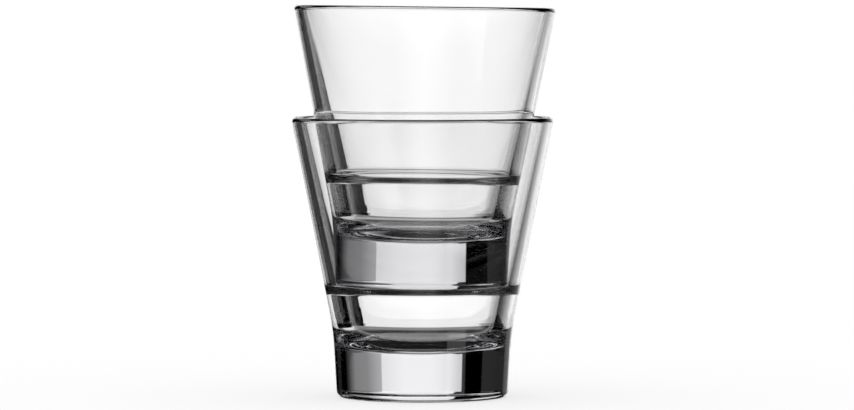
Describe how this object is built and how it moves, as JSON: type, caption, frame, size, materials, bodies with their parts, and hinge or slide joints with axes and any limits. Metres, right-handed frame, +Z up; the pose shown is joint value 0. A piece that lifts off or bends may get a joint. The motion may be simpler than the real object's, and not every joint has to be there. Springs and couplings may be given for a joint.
{
  "type": "stacking glass tumblers",
  "caption": "Clear pressed-glass tumblers for small coffees, flared from a heavy foot, with an inner ledge on which the next glass stacks and lifts out.",
  "frame": {"origin": "middle of the lower glass's foot, on the table plane", "axes": "+Z up along the lower glass's axis, -Y towards the viewer, +X to the viewer's right, the way the upper glass leans"},
  "size_m": [0.0811, 0.0804, 0.1204],
  "materials": {
    "clear_glass": "clear pressed soda-lime glass, fire-polished"
  },
  "bodies": {
    "lower_glass": {"lower_glass": "clear_glass"},
    "upper_glass": {"upper_glass": "clear_glass"}
  },
  "joints": [
    {"name": "upper_glass_lift", "type": "slide", "parent": "lower_glass", "child": "upper_glass", "axis": [0, 0, 1], "range_m": [0, 0.06]}
  ]
}
